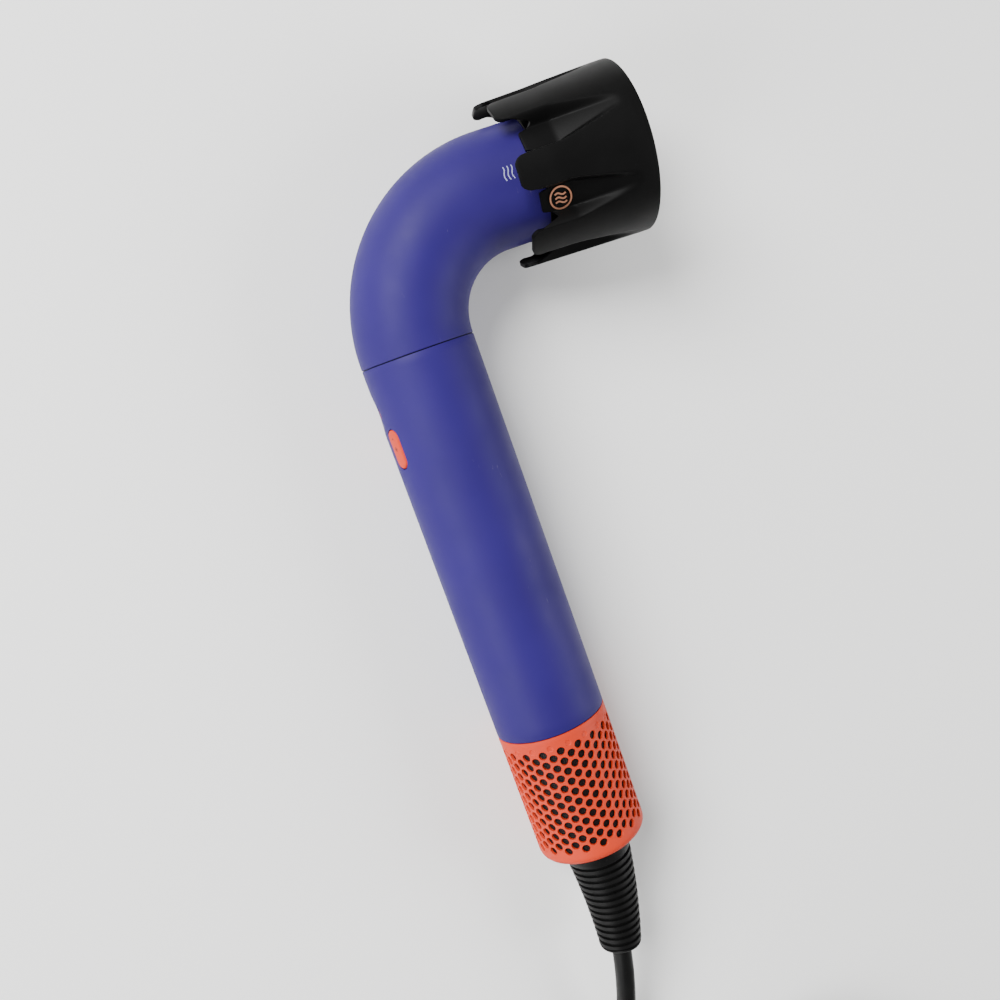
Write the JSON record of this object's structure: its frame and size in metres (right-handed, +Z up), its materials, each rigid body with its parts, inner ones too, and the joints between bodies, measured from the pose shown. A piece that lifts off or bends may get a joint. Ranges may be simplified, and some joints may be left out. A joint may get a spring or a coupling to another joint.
{
  "type": "travel hair dryer",
  "caption": "Pipe-shaped travel hair dryer with a bent neck, fingered air attachment, pull-off inlet cage, buttons on the back, and a coiled lead with plug.",
  "frame": {"origin": "on the surface it lies on, under the middle of the dryer's own box (its lead left out)", "axes": "+Y up the handle towards the bend, +Z up from the surface, +X towards the side the nozzle points to; the nozzle rises 8.6 degrees from +X, because the dryer rests on its handle and on the attachment's fingers"},
  "size_m": [0.1263, 0.5343, 0.0592],
  "materials": {
    "shell_plastic": "satin, very fine moulded texture",
    "accent_plastic": "satin moulded",
    "black_plastic": "satin moulded",
    "grey_plastic": "matte moulded",
    "soft_rubber": "matte moulded",
    "cord_sheath": "matte extruded",
    "steel": "brushed",
    "aluminium": "satin",
    "copper": "polished copper tone",
    "mica": "mineral board",
    "circuit_board": "solder mask",
    "tie_fabric": "woven hook tape"
  },
  "bodies": {
    "root": {"handle_shell": "shell_plastic", "neck_shell": "shell_plastic", "seam_collar": "black_plastic", "outlet_grille": "black_plastic", "motor_housing": "black_plastic", "guide_vanes": "black_plastic", "upper_bearing_plate": "black_plastic", "lower_bearing_plate": "black_plastic", "power_switch": "black_plastic", "speed_switch": "black_plastic", "heat_switch": "black_plastic", "mains_capacitor": "black_plastic", "inlet_frame": "black_plastic", "base_cap": "black_plastic", "cord_clamp": "black_plastic", "upper_rubber_mount": "soft_rubber", "lower_rubber_mount": "soft_rubber", "strain_relief": "soft_rubber", "plug_body": "soft_rubber", "cord_lead": "cord_sheath", "cord_coil": "cord_sheath", "cord_tail": "cord_sheath", "inlet_mesh": "steel", "upper_bearing": "steel", "lower_bearing": "steel", "heater_coil": "steel", "thermal_cutout": "steel", "clamp_screw_left": "steel", "clamp_screw_right": "steel", "plug_pin_left": "steel", "plug_pin_right": "steel", "outlet_ring": "aluminium", "motor_stator": "copper", "thermistor": "copper", "heater_liner": "mica", "heater_frame": "mica", "control_board": "circuit_board", "power_board": "circuit_board", "cord_tie": "tie_fabric"},
    "rotor": {"impeller": "grey_plastic", "rotor_shaft": "steel", "rotor_magnet": "steel"},
    "power_key": {"power_button": "accent_plastic"},
    "speed_key": {"speed_button": "accent_plastic"},
    "heat_key": {"heat_button": "accent_plastic"},
    "cage": {"filter_cage": "accent_plastic"},
    "coupler": {"coupler_ring": "black_plastic", "coupler_magnet": "steel"},
    "attachment": {"attachment_cup": "black_plastic", "cup_retainer": "black_plastic", "attachment_badge": "copper"}
  },
  "joints": [
    {"name": "rotor_spin", "type": "hinge", "parent": "root", "child": "rotor", "pos_m": [-0.0352, -0.031, 0.019], "axis": [0, 1, 0], "continuous": true},
    {"name": "power_press", "type": "slide", "parent": "root", "child": "power_key", "axis": [0.9887, 0, 0.1499], "range_m": [0, 0.0005], "stiffness_N_per_m": 2000, "springref_m": -0.0003},
    {"name": "speed_press", "type": "slide", "parent": "root", "child": "speed_key", "axis": [0.9665, 0, -0.2567], "range_m": [0, 0.0005], "stiffness_N_per_m": 2000, "springref_m": -0.0003},
    {"name": "heat_press", "type": "slide", "parent": "root", "child": "heat_key", "axis": [0.8469, 0, 0.5318], "range_m": [0, 0.0005], "stiffness_N_per_m": 2000, "springref_m": -0.0003},
    {"name": "cage_slide", "type": "slide", "parent": "root", "child": "cage", "axis": [0, -1, 0], "range_m": [0, 0.045]},
    {"name": "attachment_pull", "type": "slide", "parent": "root", "child": "coupler", "axis": [0.9887, 0, 0.1499], "range_m": [0, 0.035]},
    {"name": "attachment_turn", "type": "hinge", "parent": "coupler", "child": "attachment", "pos_m": [0.00395, 0.1164, 0.02494], "axis": [0.9887, 0, 0.1499], "continuous": true}
  ]
}
